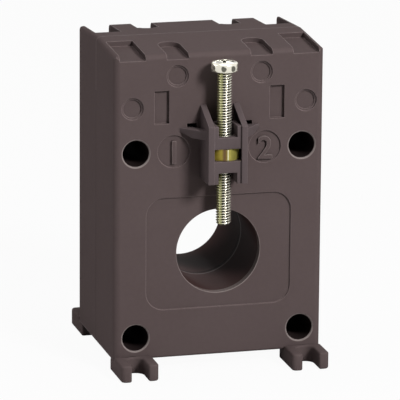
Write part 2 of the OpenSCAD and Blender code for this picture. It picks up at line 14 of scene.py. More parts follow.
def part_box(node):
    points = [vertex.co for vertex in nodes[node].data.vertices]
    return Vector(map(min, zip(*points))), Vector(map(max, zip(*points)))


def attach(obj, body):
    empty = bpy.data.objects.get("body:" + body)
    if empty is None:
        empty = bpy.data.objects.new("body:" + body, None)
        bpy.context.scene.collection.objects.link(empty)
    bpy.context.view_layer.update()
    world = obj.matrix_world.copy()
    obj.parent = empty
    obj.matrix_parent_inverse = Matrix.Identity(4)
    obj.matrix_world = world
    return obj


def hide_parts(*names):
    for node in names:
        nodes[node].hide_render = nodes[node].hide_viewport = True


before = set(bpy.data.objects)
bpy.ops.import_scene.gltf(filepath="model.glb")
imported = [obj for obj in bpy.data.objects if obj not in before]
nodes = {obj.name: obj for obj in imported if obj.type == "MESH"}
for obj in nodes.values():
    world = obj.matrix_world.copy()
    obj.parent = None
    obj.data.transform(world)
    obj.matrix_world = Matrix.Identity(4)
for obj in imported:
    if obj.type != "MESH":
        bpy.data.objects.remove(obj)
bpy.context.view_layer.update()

MM = 0.001


# The studio. A pale floor under the feet, a small soft lamp high to the right of the front
# face, wide weaker ones overhead, at the left and behind, and a little light all round.
scene = bpy.context.scene
scene.view_settings.view_transform = "Standard"

CAMERA_TURN = radians(15.155)
CAMERA_RISE = radians(14.5)
CAMERA_ROLL = radians(-0.4326)
CAMERA_DISTANCE = 1042.9 * MM
CAMERA_AIM = Vector((-3.88, -15.52, 12.79)) * MM
CAMERA_LENS = 360.47
CAMERA_SENSOR = 36
CAMERA_NEAR = 50 * MM

heading = Vector((sin(CAMERA_TURN), cos(CAMERA_TURN), 0))
forward = heading * cos(CAMERA_RISE) - Vector((0, 0, sin(CAMERA_RISE)))
across = Vector((cos(CAMERA_TURN), -sin(CAMERA_TURN), 0))
upward = across.cross(forward)
camera_x = across * cos(CAMERA_ROLL) - upward * sin(CAMERA_ROLL)
camera_y = across * sin(CAMERA_ROLL) + upward * cos(CAMERA_ROLL)


def placed(name, data):
    """A new object that is in the scene."""
    made = bpy.data.objects.new(name, data)
    scene.collection.objects.link(made)
    return made


camera = placed("camera", bpy.data.cameras.new("camera"))
camera.data.lens = CAMERA_LENS
camera.data.sensor_width = CAMERA_SENSOR
camera.data.clip_start = CAMERA_NEAR
camera.matrix_world = (
    Matrix.Translation(CAMERA_AIM - forward * CAMERA_DISTANCE)
    @ Matrix((camera_x, camera_y, -forward)).transposed().to_4x4()
)
scene.camera = camera


def lamp(name, bearing, rise, distance, size, level):
    """A square soft box, with its angles in degrees, seen from the part. At level 1, a face
    turned to it renders as its colour is written."""
    turn, climb = radians(bearing), radians(rise)
    away = Vector((sin(turn) * cos(climb), -cos(turn) * cos(climb), sin(climb)))
    data = bpy.data.lights.new(name, "AREA")
    data.shape = "SQUARE"
    data.size = size
    data.energy = level * (pi * distance) ** 2
    box = placed(name, data)
    box.location = CAMERA_AIM + away * distance
    box.rotation_euler = away.to_track_quat("Z", "Y").to_euler()


lamp("key_lamp", bearing=25, rise=32, distance=1.1, size=0.26, level=0.95)
lamp("top_lamp", bearing=0, rise=86, distance=1.2, size=0.9, level=0.47)
lamp("left_lamp", bearing=-104, rise=10, distance=1.2, size=0.8, level=0.44)
lamp("back_lamp", bearing=160, rise=12, distance=1.2, size=0.8, level=0.2)


class Signal:
    """A socket in a node tree. Arithmetic on it adds the node that does the sum."""

    def __init__(self, tree, socket=None):
        self.tree = tree
        self.socket = socket

    def add(self, kind, settings=None, inputs=None, output=0):
        """Adds a node: its settings first, then the values or links of its sockets."""
        node = self.tree.nodes.new(kind)
        for name, value in (settings or {}).items():
            setattr(node, name, value)
        for name, value in (inputs or {}).items():
            if isinstance(value, Signal):
                self.tree.links.new(value.socket, node.inputs[name])
            else:
                node.inputs[name].default_value = value
        return Signal(self.tree, node.outputs[output] if node.outputs else None)

    def maths(self, operation, *values):
        return self.add("ShaderNodeMath", {"operation": operation}, dict(enumerate(values)))

    def __add__(self, other):
        return self.maths("ADD", self, other)

    def __sub__(self, other):
        return self.maths("SUBTRACT", self, other)

    def __mul__(self, other):
        return self.maths("MULTIPLY", self, other)

    def __truediv__(self, other):
        return self.maths("DIVIDE", self, other)

    def __rsub__(self, other):
        return self.maths("SUBTRACT", other, self)

    __radd__ = __add__
    __rmul__ = __mul__


def seen_directly(base):
    """1 for rays of the camera, of mirror-like surfaces and of glass: they see plain white."""
    looks, shines, passes = (
        base.add("ShaderNodeLightPath", output=name)
        for name in ("Is Camera Ray", "Is Glossy Ray", "Is Transmission Ray")
    )
    return base.maths("MAXIMUM", base.maths("MAXIMUM", looks, shines), passes)


AMBIENT = 0.03
WHITE = (1, 1, 1, 1)
world = bpy.data.worlds.new("world")
scene.world = world
world.use_nodes = True
world.node_tree.nodes.clear()
sky = Signal(world.node_tree)
sky_strength = AMBIENT + (1 - AMBIENT) * seen_directly(sky)
sky_light = sky.add("ShaderNodeBackground", inputs={"Color": WHITE, "Strength": sky_strength})
sky.add("ShaderNodeOutputWorld", inputs={"Surface": sky_light})

FLOOR_HALF = 4.0
FLOOR_GAP = 0.01 * MM
FLOOR_MATT = 0.52
FLOOR_WHITE = 0.95
floor_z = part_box("foot_front_left")[0].z - FLOOR_GAP
floor_mesh = bpy.data.meshes.new("floor")
corners = ((-1, -1), (1, -1), (1, 1), (-1, 1))
places = [(x * FLOOR_HALF, y * FLOOR_HALF, floor_z) for x, y in corners]
floor_mesh.from_pydata(places, [], [(0, 1, 2, 3)])
floor = placed("floor", floor_mesh)
floor_paint = bpy.data.materials.new("floor_paint")
floor_paint.use_nodes = True
floor_paint.node_tree.nodes.clear()
paint = Signal(floor_paint.node_tree)
matt = paint.add("ShaderNodeBsdfDiffuse", inputs={"Color": (FLOOR_MATT, FLOOR_MATT, FLOOR_MATT, 1)})
glow = paint.add("ShaderNodeEmission", inputs={"Color": WHITE, "Strength": 1.0})
whiter = seen_directly(paint) * FLOOR_WHITE
mixed = paint.add("ShaderNodeMixShader", inputs={0: whiter, 1: matt, 2: glow})
paint.add("ShaderNodeOutputMaterial", inputs={"Surface": mixed})
floor_mesh.materials.append(floor_paint)


# The case. Two half shells moulded in warm dark grey polycarbonate, which meet at the
# seam with a tongue and a groove. The mould is spark-eroded, so the faces have a fine
# even grain. Its edges are polished, and they and the chamfered rims get a painted
# highlight; its bores and fixing tubes are darkened with painted shade.
def new_material(name, **constants):
    """A material: itself, its shader node with the constants set, and a signal to build on."""
    made = bpy.data.materials.new(name)
    made.use_nodes = True
    made.node_tree.nodes.clear()
    base = Signal(made.node_tree)
    shader = base.add("ShaderNodeBsdfPrincipled", inputs=constants)
    base.add("ShaderNodeOutputMaterial", inputs={"Surface": shader})
    return made, shader.socket.node, base


def feed(shader, **signals):
    """Links signals to a shader's sockets; an underscore in a name stands for a space."""
    for name, signal in signals.items():
        signal.tree.links.new(signal.socket, shader.inputs[name.replace("_", " ")])


def mix(base, share, low, high):
    """A colour between two, by a share from 0 to 1."""
    return base.add("ShaderNodeMix", {"data_type": "RGBA"}, {0: share, 6: low, 7: high}, 2)


def rgb(red, green, blue):
    return (red, green, blue, 1.0)


def split(base, vector):
    """The three parts of a vector."""
    return [base.add("ShaderNodeSeparateXYZ", inputs={0: vector}, output=axis) for axis in "XYZ"]


def noise(base, place, size, detail=2.0):
    """Cloudy noise whose lumps are about this size, in metres."""
    inputs = {"Vector": place, "Scale": 1 / size, "Detail": detail}
    return base.add("ShaderNodeTexNoise", inputs=inputs)


def bump(base, height, depth, strength=1.0, normal=None):
    inputs = {"Strength": strength, "Distance": depth, "Height": height}
    if normal:
        inputs["Normal"] = normal
    return base.add("ShaderNodeBump", inputs=inputs)


def rounded_edge(base, radius):
    """The normal with every edge rounded to a radius, and how much of an edge a point is."""
    soft = base.add("ShaderNodeBevel", {"samples": 6}, {"Radius": radius})
    flat = base.add("ShaderNodeNewGeometry", output="Normal")
    dot = {"operation": "DOT_PRODUCT"}
    along = base.add("ShaderNodeVectorMath", dot, {0: soft, 1: flat}, "Value")
    return soft, base.maths("MINIMUM", (1 - along) * 5.0, 1.0)


def clamped(base, value):
    return base.add("ShaderNodeClamp", inputs={0: value})


SEAM_TOP = 40 * MM
SEAM_HALF = 0.1 * MM
SEAM_WIDER = 0.45 * MM
SEAM_BARE = 0.5 * MM
BORE_R = 11.3 * MM
LIP_AHEAD = 1.3 * MM
LIP_HALF = 0.4 * MM
TUBE_R = 3.56 * MM
TUBE_X = 22.2 * MM
TUBE_MIDDLE_Z = 2.5 * MM
TUBE_APART_Z = 24.7 * MM
TUBE_MOUTH = 19.5 * MM
RIM_X = 26 * MM
RIM_LOW = -27 * MM
BORE_MOUTH = -17.5 * MM
MOUTH_LINE = 0.09 * MM
CLOUD_SIZE = 14 * MM
FLOW_SIZE = 1.1 * MM
# painted highlight: how much paler the edges are made
EDGE_HIGHLIGHT_PALER = 2.1
# dark colour of the seam joint, and of painted shade in the tubes and on the bracket
JOINT_AND_SHADE = rgb(0.010, 0.006, 0.006)
BORE_SHADE = rgb(0.045, 0.012, 0.010)
# painted highlight colour of the chamfered rims
RIM_HIGHLIGHT = rgb(0.42, 0.37, 0.35)


def distance(base, value, middle):
    return base.maths("ABSOLUTE", value - middle)


def true_y(base):
    """How far a face looks to the rear, from -1 to 1."""
    return split(base, base.add("ShaderNodeNewGeometry", output="True Normal"))[1]


def case_bores(base, place, tone, edge, seam_y):
    """Where the two shells meet there is a dark line, with a painted highlight on a lip before it
    in the bore. The bore and fixing tubes are darkened with painted shade, and the bore is
    glossier. Gives the tone, the edges and the gloss."""
    x, y, z = split(base, place)
    below = base.maths("LESS_THAN", z, SEAM_TOP)
    from_axis = base.maths("POWER", x * x + z * z, 0.5)
    in_bore = base.maths("LESS_THAN", from_axis, BORE_R)
    away = distance(base, y, seam_y)
    edge = edge * (1 - below * (1 - clamped(base, away / SEAM_BARE)))
    joint = clamped(base, 1.5 - away / (SEAM_HALF + SEAM_WIDER * in_bore))
    tube_x = distance(base, base.maths("ABSOLUTE", x), TUBE_X)
    tube_z = distance(base, distance(base, z, TUBE_MIDDLE_Z), TUBE_APART_Z)
    in_tube = base.maths("LESS_THAN", tube_x * tube_x + tube_z * tube_z, TUBE_R ** 2)
    in_tube = in_tube * base.maths("LESS_THAN", base.maths("ABSOLUTE", y), TUBE_MOUTH)
    # painted shade inside the bore and the fixing tubes
    tone = mix(base, in_bore * 0.60, tone, BORE_SHADE)
    tone = mix(base, in_tube * 0.85, tone, JOINT_AND_SHADE)
    tone = mix(base, below * joint * 0.6, tone, JOINT_AND_SHADE)
    # painted highlight on a lip before the seam in the bore
    lip = clamped(base, 1 - distance(base, y, seam_y - LIP_AHEAD) / LIP_HALF)
    return tone, base.maths("MAXIMUM", edge, lip * in_bore * 0.5), in_bore * 0.03


def case_rim_highlights(base, place):
    """Painted highlights on the chamfers at the mouths and the panel, and on a line round the
    bore's mouth, strongest at its lower right.
    """
    x, y, z = split(base, place)
    slant = distance(base, base.maths("ABSOLUTE", true_y(base)), sin(pi / 4))
    inside = base.maths("LESS_THAN", base.maths("ABSOLUTE", x), RIM_X)
    inside = inside * base.maths("LESS_THAN", z, SEAM_TOP) * base.maths("GREATER_THAN", z, RIM_LOW)
    from_axis = base.maths("POWER", x * x + z * z, 0.5)
    by_bore = base.maths("LESS_THAN", from_axis, BORE_R + MM)
    rim = clamped(base, 1.4 - slant / 0.10) * inside * (0.40 + 0.35 * by_bore)
    mouth = clamped(base, 1.6 - distance(base, from_axis, BORE_R + 0.02 * MM) / MOUTH_LINE)
    mouth = mouth * base.maths("LESS_THAN", y, BORE_MOUTH)
    low_right = clamped(base, 0.45 - z / (26 * MM) + x / (60 * MM))
    return base.maths("MAXIMUM", rim, mouth * low_right * 0.45)


def moulded(name, dark, light, grain, radius, roughness, shine, seam_y=None, shade_line_x=None):
    """Moulded plastic: a cloudy colour, eroded grain and polished edges, made paler as a painted
    highlight. A case shell has its seam, painted shade in its bores and painted highlights on
    its rims, and the bracket a line of painted shade on its front."""
    made, shader, base = new_material(name, **{"Specular IOR Level": 0.0, "Coat Roughness": 0.3})
    place = base.add("ShaderNodeTexCoord", output="Object")
    cloud = noise(base, place, CLOUD_SIZE, 3.0)
    flow = noise(base, place, FLOW_SIZE, 2.0)
    speck = noise(base, place, grain)
    soft, edge = rounded_edge(base, radius)
    tone = mix(base, cloud * 0.4 + flow * 0.35 + speck * 0.25, dark, light)
    gloss = 0.0
    if seam_y is not None:
        tone, edge, gloss = case_bores(base, place, tone, edge, seam_y)
    # painted highlight: the edges are mixed towards a paler colour
    tone = mix(base, edge * 0.8, tone, rgb(*(min(c * EDGE_HIGHLIGHT_PALER, 0.8) for c in light[:3])))
    # painted highlights on the chamfered rims and the bore's mouth
    if seam_y is not None:
        tone = mix(base, case_rim_highlights(base, place), tone, RIM_HIGHLIGHT)
    if shade_line_x is not None:
        # painted shade: a dark line down the bracket's front where the cross bars end by the right
        # cheek
        ahead = base.maths("LESS_THAN", true_y(base), -0.9)
        gap = distance(base, split(base, place)[0], shade_line_x) / (0.16 * MM)
        tone = mix(base, clamped(base, 1.7 - gap) * ahead * 0.9, tone, JOINT_AND_SHADE)
    feed(
        shader,
        Base_Color=tone,
        Roughness=roughness + 0.10 * speck - 0.14 * edge,
        Coat_Weight=shine + shine * speck + 0.25 * edge + gloss,
        Normal=bump(base, speck, 0.03 * MM, 0.25, soft),
    )
    return made


case_plastic = moulded(
    "case_plastic", rgb(0.084, 0.061, 0.060), rgb(0.111, 0.085, 0.084), grain=0.22 * MM,
    radius=0.32 * MM, roughness=0.55, shine=0.012, seam_y=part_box("rear_shell")[0].y,
)


def dress(node, finish):
    """Gives a node of the frame its finish."""
    slots = nodes[node].data.materials
    if not slots:
        slots.append(finish)
    for i in range(len(slots)):
        slots[i] = finish


for node in ("front_shell", "rear_shell"):
    dress(node, case_plastic)


# The places of the side marks. Each of the two round dips in the front face holds one
# plain number, raised from its floor to a little over the face.
MARK_X = 12.2 * MM
MARK_Z = 27.3 * MM
MARK_DEPTH = 0.45 * MM
MARK_RAISE = 0.80 * MM
MARK_HEIGHT = 6.2 * MM
DIGIT_SHARE = 0.73
MARK_EDGE = 0.16 * MM
MARK_BOLD = 0.16 * MM


def plain_mesh(thing):
    """The mesh that an object gives once its modifiers are worked out, in the object's place."""
    bpy.context.view_layer.update()
    done = thing.evaluated_get(bpy.context.evaluated_depsgraph_get())
    mesh = bpy.data.meshes.new_from_object(done)
    bpy.data.objects.remove(thing)
    return mesh


def raised_number(name, word, x):
    """A number that stands up from the floor of its dip, as a mesh."""
    curve = bpy.data.curves.new(name, "FONT")
    curve.body = word
    curve.size = MARK_HEIGHT / DIGIT_SHARE
    curve.align_x = "CENTER"
    curve.extrude = MARK_RAISE / 2 - MARK_EDGE
    curve.bevel_depth = MARK_EDGE
    curve.bevel_resolution = 2
    curve.offset = MARK_BOLD - MARK_EDGE
    mesh = plain_mesh(placed(name, curve))
    floor_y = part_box("front_shell")[0].y + MARK_DEPTH
    foot = Vector((x, floor_y - MARK_RAISE / 2, MARK_Z - MARK_HEIGHT / 2))
    mesh.transform(Matrix.Translation(foot) @ Matrix.Rotation(pi / 2, 4, "X"))
    mesh.materials.clear()
    mesh.materials.append(case_plastic)
    mark = placed(name, mesh)
    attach(mark, "case")


raised_number("mark_left", "1", -MARK_X)
raised_number("mark_right", "2", MARK_X)


# The feet. Four clip-on feet moulded in the plastic of the case; a rib on each tongue is
# pressed into the underside. Their tool is worn, so all their edges are well rounded.
WELD = 0.001 * MM
FLAT = radians(0.5)
FOOT_ROUND = 0.5 * MM


def smooth(mesh, angle):
    """Smooth shading that keeps the edges sharper than an angle in degrees."""
    mesh.polygons.foreach_set("use_smooth", [True] * len(mesh.polygons))
    mesh.set_sharp_from_angle(angle=radians(angle))


def softened(node, finish, radius):
    """A copy of a node with its edges rounded, in the node's place."""
    mesh = nodes[node].data.copy()
    plain = bmesh.new()
    plain.from_mesh(mesh)
    bmesh.ops.remove_doubles(plain, verts=plain.verts, dist=WELD)
    bmesh.ops.dissolve_limit(plain, angle_limit=FLAT, verts=plain.verts, edges=plain.edges)
    plain.to_mesh(mesh)
    plain.free()
    holder = placed(node + "_soft", mesh)
    rounding = holder.modifiers.new("rounding", "BEVEL")
    rounding.width = radius
    rounding.segments = 3
    rounding.limit_method = "ANGLE"
    rounding.angle_limit = radians(40)
    made = plain_mesh(holder)
    smooth(made, 35)
    made.materials.clear()
    made.materials.append(finish)
    piece = placed(node + "_soft", made)
    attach(piece, "case")
    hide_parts(node)


for node in ("foot_front_left", "foot_front_right", "foot_rear_left", "foot_rear_right"):
    softened(node, case_plastic, FOOT_ROUND)


# The screw bracket. Moulded by itself and snapped into two slots of the front wall. Its
# tool is a finer one, with a finer grain and sharper edges. A fine line of painted shade
# runs down its front, where the cross bars end by the right cheek.
BAR_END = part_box("lock_nut")[1].x
BRACKET_ROUND = 0.15 * MM
bracket_plastic = moulded(
    "bracket_plastic", rgb(0.089, 0.068, 0.069), rgb(0.117, 0.092, 0.094), grain=0.16 * MM,
    radius=0.26 * MM, roughness=0.50, shine=0.02, shade_line_x=BAR_END,
)
softened("screw_bracket", bracket_plastic, BRACKET_ROUND)


# The lock nut. A pressed steel nut under yellow passivated zinc, which lies deeper in
# some places than in others. Painted light makes its right side paler, with a painted
# reflection as a brown band and a painted highlight on its front corner.
# painted highlight colour of the edges of plated parts
EDGE_HIGHLIGHT = rgb(0.84, 0.83, 0.72)
# place and half width of the painted reflection band on the nut
REFLECTION_BAND_X = -0.75 * MM
REFLECTION_BAND_HALF = 0.50 * MM
CORNER_X = 0.05 * MM
CORNER_HALF = 0.14 * MM


def plated(name, deep, bright, roughness, metallic=1.0, painted_light=None):
    """Zinc plating on steel: two tints in clouds and fine marks, with the edges made pale as a
    painted highlight. A function given as the last argument lays painted light, shade and
    reflections over these."""
    made, shader, base = new_material(name, Metallic=metallic)
    place = base.add("ShaderNodeTexCoord", output="Object")
    cloud = noise(base, place, 2.4 * MM, 3.0)
    mark = noise(base, place, 0.19 * MM)
    soft, edge = rounded_edge(base, 0.18 * MM)
    # painted highlight: the edges are made pale
    tone = mix(base, edge * 0.7, mix(base, cloud, deep, bright), EDGE_HIGHLIGHT)
    if painted_light:
        tone = painted_light(base, place, tone)
    feed(
        shader,
        Base_Color=tone,
        Roughness=roughness + 0.12 * mark,
        Normal=bump(base, mark, 0.01 * MM, 0.12, soft),
    )
    return made


def nut_painted_light(base, place, tone):
    """Painted light on the nut: its right side paler, a painted reflection as a brown band left of
    the front corner, and a painted highlight on that corner.
    """
    x, _, _ = split(base, place)
    # painted light: the right side of the nut paler
    tone = mix(base, clamped(base, x / MM + 0.3) * 0.7, tone, rgb(0.49, 0.45, 0.11))
    # painted reflection: a brown band left of the front corner
    reflection_band = clamped(base, 1.4 - distance(base, x, REFLECTION_BAND_X) / REFLECTION_BAND_HALF)
    tone = mix(base, reflection_band * 0.85, tone, rgb(0.12, 0.055, 0.03))
    # painted highlight on the front corner
    corner = clamped(base, 1.5 - distance(base, x, CORNER_X) / CORNER_HALF)
    return mix(base, corner * 0.8, tone, rgb(0.90, 0.86, 0.62))


nut_zinc = plated(
    "nut_zinc", rgb(0.25, 0.185, 0.018), rgb(0.44, 0.345, 0.05), roughness=0.26, metallic=0.55,
    painted_light=nut_painted_light,
)
dress("lock_nut", nut_zinc)


# The locking screw. A steel screw with a round-edged head 7 mm wide, an M4 thread rolled
# over its whole length and a cross recess pressed into its crown, under pale yellow zinc.
# Painted shade darkens the roots of its thread and its recess, and painted reflections
# make the right of its shank silver and lay dark streaks and patches on it.
def thread_tree():
    """Geometry tree of a rolled thread: one sheet wound round the shank, its tip closed."""
    tree = bpy.data.node_groups.new("rolled_thread", "GeometryNodeTree")
    sockets = {
        "Major Radius": "Float", "Minor Radius": "Float", "Pitch": "Float", "Length": "Float",
        "Point": "Float", "Sides": "Int", "Steps": "Int", "Material": "Material",
    }
    for name, kind in sockets.items():
        tree.interface.new_socket(name, in_out="INPUT", socket_type="NodeSocket" + kind)
    tree.interface.new_socket("Geometry", in_out="OUTPUT", socket_type="NodeSocketGeometry")
    major, minor, pitch, length, point, sides, steps, finish = (
        Signal(tree).add("NodeGroupInput", output=name) for name in sockets
    )

    columns = (major.maths("CEIL", length / pitch) + 2) * sides
    grid = major.add("GeometryNodeMeshGrid", inputs={
        "Size X": columns, "Size Y": steps, "Vertices X": columns + 1, "Vertices Y": steps + 1})
    spot = major.add("GeometryNodeInputPosition")
    along = major.add("ShaderNodeSeparateXYZ", inputs={0: spot}, output="X")
    over = major.add("ShaderNodeSeparateXYZ", inputs={0: spot}, output="Y")
    turns = (along + columns * 0.5) / sides
    share = over / steps + 0.5
    height = pitch * (turns + share - 1.5)
    step = pitch / steps
    too_low = major.maths("LESS_THAN", height + step, 0.0)
    too_high = major.maths("GREATER_THAN", height - step, length)
    cut = major.add("GeometryNodeDeleteGeometry", {"domain": "FACE"},
                    {"Geometry": grid, "Selection": too_low + too_high})
    level = major.maths("MINIMUM", major.maths("MAXIMUM", height, 0.0), length)
    wave = 1 - major.maths("ABSOLUTE", share * 2.0 - 1.0)
    ridge = major.maths("MINIMUM", major.maths("MAXIMUM", wave * 1.4 - 0.2, 0.0), 1.0)
    radius = minor + (major - minor) * ridge
    radius = major.maths("MINIMUM", radius, major - point + level)
    radius = major.maths("MINIMUM", radius, minor + (length - level))
    angle = turns * (2 * pi)
    place = major.add("ShaderNodeCombineXYZ", inputs={
        0: radius * major.maths("COSINE", angle), 1: radius * major.maths("SINE", angle), 2: level})
    wound = major.add("GeometryNodeSetPosition", inputs={"Geometry": cut, "Position": place})
    disc = major.add("GeometryNodeMeshCircle", {"fill_type": "NGON"},
                     {"Vertices": sides, "Radius": major - point})
    tip = major.add("GeometryNodeFlipFaces", inputs={"Mesh": disc})
    joined = major.add("GeometryNodeJoinGeometry", inputs={0: wound})
    tree.links.new(tip.socket, joined.socket.node.inputs[0])
    welded = major.add("GeometryNodeMergeByDistance", inputs={"Geometry": joined, "Distance": WELD})
    real = major.add("GeometryNodeRealizeInstances", inputs={"Geometry": welded})
    dressed = major.add("GeometryNodeSetMaterial", inputs={"Geometry": real, "Material": finish})
    major.add("NodeGroupOutput", inputs={0: dressed})
    return tree


def grow(name, tree, **values):
    """The mesh that a geometry tree makes from these inputs."""
    holder = placed(name, bpy.data.meshes.new(name))
    modifier = holder.modifiers.new("tree", "NODES")
    modifier.node_group = tree
    for item in tree.interface.items_tree:
        if item.in_out == "INPUT":
            modifier[item.identifier] = values[item.name.replace(" ", "_").lower()]
    return plain_mesh(holder)


def lathe(mesh, outline, sides):
    """Turns an outline of radius and height round Z; it starts and ends on the axis or is open."""
    rings = []
    for radius, height in outline:
        if radius == 0:
            rings.append([mesh.verts.new((0, 0, height))] * sides)
        else:
            turns = (2 * pi * k / sides for k in range(sides))
            spots = ((radius * cos(a), radius * sin(a), height) for a in turns)
            rings.append([mesh.verts.new(spot) for spot in spots])
    for low, high in zip(rings, rings[1:]):
        for k in range(sides):
            corners = [low[k], low[(k + 1) % sides], high[(k + 1) % sides], high[k]]
            mesh.faces.new(list(dict.fromkeys(corners)))


def arc(centre, radii, start, end, count):
    """Points on a stretch of an ellipse, in degrees."""
    steps = (radians(start + (end - start) * k / count) for k in range(count + 1))
    return [(centre[0] + radii[0] * cos(a), centre[1] + radii[1] * sin(a)) for a in steps]


HEAD_SIDES = 96
HEAD_RIM = 0.25
HEAD_SHOULDER = 0.22
HEAD_LEAN = 84
CROWN_RISE = 0.3 * MM
CROWN_STEPS = 8


def pan_head(radius, height, neck):
    """Pan head: flat seat, rolled rim, round shoulder and a crown that rises a little."""
    rim = height * HEAD_RIM
    shoulder = height * HEAD_SHOULDER
    flank = height - CROWN_RISE - shoulder * sin(radians(HEAD_LEAN))
    outline = [(neck, 0)] + arc((radius - rim, rim), (rim, rim), -90, 0, 6)
    outline += arc((radius - shoulder, flank), (shoulder, shoulder), 0, HEAD_LEAN, 10)
    edge = outline[-1][0]
    spots = [edge * (1 - k / CROWN_STEPS) for k in range(1, CROWN_STEPS + 1)]
    outline += [(r, height - CROWN_RISE * (r / edge) ** 2) for r in spots]
    made = bmesh.new()
    lathe(made, outline, HEAD_SIDES)
    return made


def cross_punch(reach, depth, top):
    """The punch of a cross recess: four wings that lean inwards to a blunt point. Two of
    them are longer and wider, for a plain blade."""
    made = bmesh.new()
    for turn, long, wide in ((0, 1.2, 0.26), (pi / 2, 1.0, 0.20)):
        rings = []
        sizes = ((top, reach * long, reach * wide), (top - depth, reach * 0.34, reach * 0.14))
        for height, half_long, half_wide in sizes:
            signs = ((1, 1), (-1, 1), (-1, -1), (1, -1))
            spots = (Vector((i * half_long, j * half_wide, height)) for i, j in signs)
            rings.append([made.verts.new(Matrix.Rotation(turn, 3, "Z") @ spot) for spot in spots])
        for k in range(4):
            made.faces.new((rings[1][k], rings[1][(k + 1) % 4], rings[0][(k + 1) % 4], rings[0][k]))
        made.faces.new(rings[0])
        made.faces.new(rings[1][::-1])
    bmesh.ops.recalc_face_normals(made, faces=made.faces)
    return made


def carve(body, tool):
    """Body with the tool cut away, both as bmesh; returns a mesh."""
    things = []
    for name, shape in (("carved", body), ("tool", tool)):
        mesh = bpy.data.meshes.new(name)
        shape.to_mesh(mesh)
        shape.free()
        things.append(placed(name, mesh))
    cut = things[0].modifiers.new("cut", "BOOLEAN")
    cut.operation = "DIFFERENCE"
    cut.object = things[1]
    cut.solver = "EXACT"
    cut.use_self = True
    made = plain_mesh(things[0])
    bpy.data.objects.remove(things[1])
    return made


ScrewSizes = namedtuple("ScrewSizes", "diameter pitch length head_width head_height sides")
THREAD_TREE = thread_tree()
THREAD_STEPS = 8
THREAD_DEPTH_SHARE = 0.6134
POINT_MORE = 0.05 * MM
RECESS_TURN = radians(-20)
RECESS_REACH = 0.33
RECESS_DEPTH = 0.72
PUNCH_PAST = 0.2 * MM


def machine_screw(name, node, body, finish, sizes, stand):
    """A machine screw in place of a node; stand turns it and puts its seat in place."""
    groove = THREAD_DEPTH_SHARE * sizes.pitch
    minor = sizes.diameter / 2 - groove
    thread = grow(
        name + "_thread", THREAD_TREE, major_radius=sizes.diameter / 2, minor_radius=minor,
        pitch=sizes.pitch, length=sizes.length, point=groove + POINT_MORE, sides=sizes.sides,
        steps=THREAD_STEPS, material=finish,
    )
    thread.transform(Matrix.Translation((0, 0, -sizes.length)))
    depth = sizes.head_height * RECESS_DEPTH + PUNCH_PAST
    punch = cross_punch(sizes.head_width * RECESS_REACH, depth, sizes.head_height + PUNCH_PAST)
    punch.transform(Matrix.Rotation(RECESS_TURN, 4, "Z"))
    head = carve(pan_head(sizes.head_width / 2, sizes.head_height, minor), punch)
    whole = bmesh.new()
    whole.from_mesh(thread)
    whole.from_mesh(head)
    bmesh.ops.remove_doubles(whole, verts=whole.verts, dist=WELD)
    mesh = bpy.data.meshes.new(name)
    whole.to_mesh(mesh)
    whole.free()
    smooth(mesh, 38)
    mesh.transform(stand)
    mesh.materials.clear()
    mesh.materials.append(finish)
    screw = placed(name, mesh)
    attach(screw, body)
    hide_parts(node)


SCREW_SIZES = ScrewSizes(
    diameter=4.0 * MM, pitch=0.7 * MM, length=40.35 * MM, head_width=7.0 * MM,
    head_height=2.85 * MM, sides=48,
)
low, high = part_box("locking_screw")
SCREW_SEAT = Vector(((low.x + high.x) / 2, (low.y + high.y) / 2, low.z + SCREW_SIZES.length))
# the silver of the head, and a painted reflection on the right of the shank
SILVER = rgb(0.80, 0.77, 0.66)
# the dark colour of painted shade and painted reflections
SHADE_AND_REFLECTION_DARK = rgb(0.050, 0.048, 0.034)
STREAKS = 8
STREAK_TURN = radians(251)
ROOT_R = 1.70 * MM
RIDGE_R = 1.96 * MM
SIDE_R = 3.2 * MM
SIDE_MIDDLE = 1.2 * MM
PATCH = 1.1 * MM
PATCH_CLOUD = 0.9 * MM
# place and size of the painted reflections on the crown
CROWN_REFLECTION_X = 0.1 * MM
CROWN_REFLECTION_BESIDE = 1.9 * MM
CROWN_REFLECTION_Y = -1.1 * MM
CROWN_REFLECTION_LONG = 1.4 * MM


